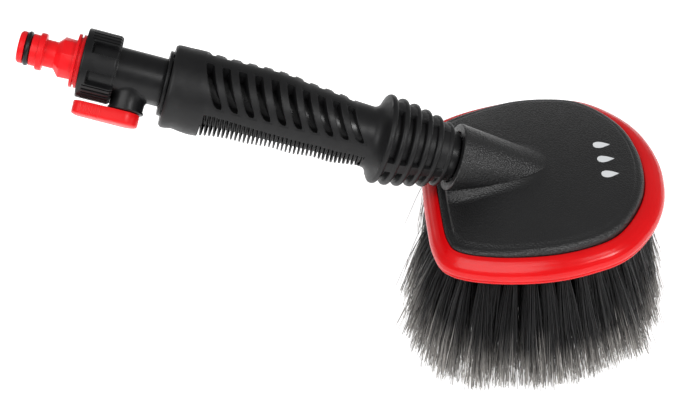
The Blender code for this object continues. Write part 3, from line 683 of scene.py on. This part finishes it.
def build_nut():
    """Swivel nut with smooth panels, grip pockets and fine ribs."""
    q = np.concatenate([np.arange(NUT_FROM, NUT_TO, 0.2), [NUT_TO]])
    cols = NUT_COLUMNS
    th = circle(cols)
    Q, T = np.meshgrid(q, th, indexing="ij")
    turn = (-np.degrees(T) - NUT_TURN) % 180
    F = np.minimum(turn, 180 - turn)
    R = np.full_like(Q, NUT_RADIUS)
    R -= 0.8 * (1 - step(Q, NUT_FROM, NUT_FROM + 1.4)) ** 1.5
    R -= 0.35 * step(Q, NUT_TO - 0.5, NUT_TO)
    pocket = (1 - step(np.abs(F - 27), 10.6, 12.4)) * (1 - step(Q, 168.4, 169.6))
    R -= POCKET_DEPTH * pocket
    phase = ((F - RIBS_FROM) / RIBS_PITCH) % 1.0
    ribs = (F > RIBS_FROM) & (Q < 170.6)
    groove = step(np.abs(phase - 0.5), 0.27, 0.36) * GROOVE_DEPTH
    R -= np.where(ribs, groove, 0) * (1 - step(Q, 170.2, 170.6))
    outer = np.stack([R * np.cos(T), R * np.sin(T), Q], -1)
    verts = np.vstack([outer, spun(np.array(NUT_BORE), cols)]).reshape(-1, 3)
    faces = grid_faces(len(q) + len(NUT_BORE), cols, True)[:, ::-1]
    return piece("swivel_nut", verts, faces, handle_frame, satin, sharp=32)


# Valve tube as (radius, station), stem tower as (radius, distance along the stem)
VALVE_SECTION = (
    (12.9, 167.0), (12.9, 158.6), (11.5, 157.0), (11.5, 134.9), (8.7, 134.9), (8.7, 112.0),
    (5.2, 112.0), (5.2, 139.2), (9.6, 139.2), (9.6, 167.0),
)
VALVE_RADIUS = 11.5
TOWER_SECTION = (
    (9.6, 9.8), (9.3, 10.4), (8.9, 10.9), (8.5, 11.4), (8.15, 12.0), (7.95, 13.0), (7.9, 15.0),
    (7.9, 16.6), (8.35, 16.61), (8.4, 17.2), (8.35, 17.5), (8.2, 17.7), (7.9, 17.8), (3.7, 17.8),
    (3.7, 11.2), (5.2, 11.2), (5.2, 9.4),
)
TOWER_SIDES = 96
TOWER_FLARE = 5  # rings that follow the tube's surface
STEM_HOLE_RADIUS = 5.2
STEM_HOLE_MIDDLE, STEM_HOLE_DEPTH = 10.5, 9


def cut_stem_hole(tube):
    """Opens the wall of the valve tube where the stem goes in."""
    mesh = bpy.data.meshes.new("stem_hole")
    pin = bmesh.new()
    radius = STEM_HOLE_RADIUS * MM
    bmesh.ops.create_cone(
        pin, cap_ends=True, segments=48, radius1=radius, radius2=radius, depth=STEM_HOLE_DEPTH * MM,
        matrix=Matrix.Translation((0, 0, STEM_HOLE_MIDDLE * MM)),
    )
    pin.to_mesh(mesh)
    pin.free()
    cutter = bpy.data.objects.new("stem_hole", mesh)
    bpy.context.scene.collection.objects.link(cutter)
    cutter.matrix_world = stem_frame
    cut = tube.modifiers.new("stem_hole", "BOOLEAN")
    cut.operation, cut.solver, cut.object = "DIFFERENCE", "EXACT", cutter
    bpy.context.view_layer.update()
    solid = tube.evaluated_get(bpy.context.evaluated_depsgraph_get())
    tube.data = bpy.data.meshes.new_from_object(solid)
    tube.modifiers.clear()
    bpy.data.objects.remove(cutter)
    bpy.data.meshes.remove(mesh)


def build_valve():
    """Valve tube with its stem tower blended in."""
    tube = turned("valve_tube", VALVE_SECTION, handle_frame, satin, 128, 0.4)
    cut_stem_hole(tube)
    section = np.array(TOWER_SECTION)
    verts = spun(section, TOWER_SIDES)
    height = np.sqrt(np.clip(VALVE_RADIUS ** 2 - verts[:TOWER_FLARE, :, 1] ** 2, 0, None))
    verts[:TOWER_FLARE, :, 2] = height + (section[:TOWER_FLARE, 1:] - 11.0) * 0.9
    faces = grid_faces(len(section), TOWER_SIDES, True)[:, ::-1]
    return tube, piece("stem_tower", verts.reshape(-1, 3), faces, stem_frame, satin, sharp=45)


# Hose connector as (radius, station)
CONNECTOR_SECTION = (
    (6.6, 201.8), (7.4, 200.9), (7.4, 199.0), (5.4, 199.0), (5.4, 196.2), (7.3, 196.2),
    (7.3, 193.1), (8.3, 193.1), (8.65, 192.6), (8.65, 190.7), (8.3, 190.2), (6.3, 190.2),
    (6.3, 185.1), (9.3, 182.4), (9.3, 176.9), (12.5, 176.7), (12.5, 175.5), (11.2, 175.3),
    (11.2, 174.7), (12.5, 174.5), (12.5, 173.2), (9.3, 173.2), (9.3, 170.6), (12.7, 170.6),
    (12.7, 169.0), (6.4, 169.0), (6.4, 181.0), (4.2, 184.0), (4.2, 201.8),
)
FLATS = 8
FLATS_FROM, FLATS_TO = 177.2, 182.8
FLATS_OUTSIDE = 8.0  # the flats leave the bore round
FLATS_SWELL = 1.03


def build_connector():
    """Push-fit hose connector with flats on its shoulder."""
    obj = turned("connector", CONNECTOR_SECTION, handle_frame, red_nipple, 128, 0.14)
    for vertex in obj.data.vertices:
        x, y, z = vertex.co / MM
        if FLATS_FROM < z < FLATS_TO and math.hypot(x, y) > FLATS_OUTSIDE:
            turn = math.atan2(y, x) % (math.tau / FLATS) - math.pi / FLATS
            grow = FLATS_SWELL * math.cos(math.pi / FLATS) / math.cos(turn)
            vertex.co = Vector((x * grow, y * grow, z)) * MM
    return obj


# Lever: radius at the stem, then the tip's place, half length and half width
LEVER_ROOT = 7.0
LEVER_TIP, TIP_LENGTH, TIP_WIDTH = 19.3, 4.4, 5.6
# (distance along the stem, how far the outline grows)
LEVER_LEVELS = (
    (18.1, -0.35), (18.2, -0.1), (18.4, 0.0), (21.0, 0.0), (23.0, 0.0), (23.6, -0.1),
    (23.9, -0.35), (24.15, -0.9), (24.4, -2.0), (24.5, -3.2),
)
RIDGES_FROM, RIDGES_TO = 10.5, 20.5
RIDGES = 8
RIDGE_DEPTH = 0.3


def lever_outline(grow):
    """Round over the stem, narrower at the rounded tip."""
    root = LEVER_ROOT + grow
    flank = np.linspace(1.0, 18.9, 140)
    pts = [(root * math.cos(a), root * math.sin(a)) for a in np.radians(np.linspace(90, 270, 40))]
    pts += [(x, -root + 1.4 * x / LEVER_TIP) for x in flank]
    for a in np.radians(np.linspace(-90, 90, 24)):
        pts.append((LEVER_TIP + (TIP_LENGTH + grow) * math.cos(a), (TIP_WIDTH + grow) * math.sin(a)))
    pts += [(x, root - 1.4 * x / LEVER_TIP) for x in np.linspace(18.9, 1.0, 140)]
    return np.array(pts)


def build_lever():
    """Lever with rounded edges and finger ridges on its sides."""
    rings = []
    for z, grow in LEVER_LEVELS:
        pts = lever_outline(grow)
        x = pts[:, 0]
        ridged = (x > RIDGES_FROM) & (x < RIDGES_TO)
        wave = np.cos((x - RIDGES_FROM) / (RIDGES_TO - RIDGES_FROM) * RIDGES * math.tau)
        dent = np.where(ridged, RIDGE_DEPTH * (0.5 - 0.5 * wave), 0)
        pts[:, 1] -= np.sign(pts[:, 1]) * dent
        rings.append(np.column_stack([pts, np.full(len(pts), z)]))
    n = len(rings[0])
    verts = np.vstack(rings)
    faces = grid_faces(len(rings), n)[:, ::-1].tolist()
    faces.append(list(range(n))[::-1])
    faces.append([len(verts) - n + i for i in range(n)])
    return piece("lever", verts, faces, stem_frame, red_lever, sharp=40)


# Put the pieces on their bodies


def on(obj, body, *nodes):
    """The piece moves with the body and stands in for the CAD nodes."""
    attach(obj, body)
    if nodes:
        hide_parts(*nodes)


# Handle core and end ring as (radius, station)
CORE_SECTION = (
    (12.5, 134.7), (12.5, -10.3), (10.0, -10.3), (10.0, -16.0), (8.0, -16.0), (8.0, -18.6),
    (10.0, -18.6), (10.0, -31.0), (7.2, -31.0), (7.2, 110.0), (9.0, 110.0), (9.0, 134.7),
)
END_RING_SECTION = ((15.1, 135.0), (15.5, 134.6), (15.5, 133.3), (12.8, 133.3), (12.8, 135.0))


on(build_cover(), "brush", "head_cover")
on(build_rim(), "brush", "bumper_rim")
on(build_mark(), "brush")
on(build_bristles(), "brush", *[f"bristle_row_{i}" for i in range(1, 6)])
on(build_grip(), "brush", "grip_sleeve")
on(turned("core_tube", CORE_SECTION, handle_frame, gloss, 128), "brush", "handle_tube")
on(turned("end_ring", END_RING_SECTION, handle_frame, satin, 128), "brush", "grip_end_ring")
tube, tower = build_valve()
on(tube, "brush", "valve_body")
on(tower, "brush")
on(build_connector(), "brush", "hose_nipple")
on(ring_seal("connector_seal", 6.85, 1.15, 197.6, handle_frame, seal), "brush", "nipple_o_ring")
on(build_nut(), "nut", "coupling_nut")
on(build_lever(), "lever", "valve_lever")

# Looks of the CAD pieces that are kept, most of them hidden inside
dress = {
    "bristle_block": satin, "block_gasket": seal, "socket_o_ring": seal, "tube_o_ring": seal,
    "ball_seat_inlet": white_seat, "ball_seat_outlet": white_seat, "seat_retainer": satin,
    "inlet_washer": seal, "stem_o_ring": seal, "lever_screw": steel, "valve_stem": steel,
    "valve_ball": steel,
}
for i in range(1, 7):
    dress[f"block_screw_{i}"] = steel
for name, mat in dress.items():
    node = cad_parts[name]
    node.data.materials.clear()
    node.data.materials.append(mat)

# Floor, light and camera

FLOOR_HALF = 6000
FLOOR_GLOW = 0.75
WORLD_STRENGTH = 0.3

floor_mat = bpy.data.materials.new("floor")
tree, bsdf = nodes_of(floor_mat)
bsdf.inputs["Base Color"].default_value = (0.93, 0.93, 0.93, 1)
bsdf.inputs["Roughness"].default_value = 0.9
bsdf.inputs["Specular IOR Level"].default_value = 0.1
bsdf.inputs["Emission Color"].default_value = (1, 1, 1, 1)
bsdf.inputs["Emission Strength"].default_value = FLOOR_GLOW
corners = [(x * FLOOR_HALF, y * FLOOR_HALF, 0) for x, y in ((-1, -1), (1, -1), (1, 1), (-1, 1))]
floor = piece("floor", corners, [(0, 1, 2, 3)], Matrix.Identity(4), floor_mat, smooth=False)

scene = bpy.context.scene
world = bpy.data.worlds.new("studio")
scene.world = world
world.use_nodes = True
background = world.node_tree.nodes["Background"]
background.inputs["Color"].default_value = (1, 1, 1, 1)
background.inputs["Strength"].default_value = WORLD_STRENGTH


def softbox(name, place, aim, size, power):
    """A rectangular light, with its place, aim and size in metres."""
    light = bpy.data.lights.new(name, "AREA")
    light.shape = "RECTANGLE"
    light.size, light.size_y = size
    light.energy = power
    obj = bpy.data.objects.new(name, light)
    scene.collection.objects.link(obj)
    obj.location = place
    obj.rotation_euler = (Vector(aim) - Vector(place)).to_track_quat("-Z", "Y").to_euler()


softbox("rear", (-0.3, 1.6, 0.15), (0, 0, 0.1), (2.4, 0.22), 1)
softbox("front", (-0.4, -0.7, 1.1), (0, 0, 0.08), (1.1, 0.9), 10)
softbox("right", (0.75, -0.62, 0.8), (0.05, 0, 0.08), (0.3, 0.3), 5)

# The camera was solved from the photo: its place, its axes, and the focal length over the picture's width
SENSOR = 36
FOCAL_OVER_WIDTH = 1100 / 691

camera = bpy.data.cameras.new("camera")
camera.sensor_width = SENSOR
camera.lens = FOCAL_OVER_WIDTH * SENSOR
cam = bpy.data.objects.new("camera", camera)
scene.collection.objects.link(cam)
right = Vector((0.9876, -0.0127, -0.1569))
up = Vector((0.1277, 0.6479, 0.7510))
back = right.cross(up)
spot = Vector((-97.2 + NOSE_X, -429.3, 360.2 + EDGE_HEIGHT)) * MM
cam.matrix_world = Matrix.Translation(spot) @ Matrix((right, up, back)).transposed().to_4x4()
scene.camera = cam
scene.view_settings.view_transform = "Standard"
scene.view_settings.exposure = 0.0
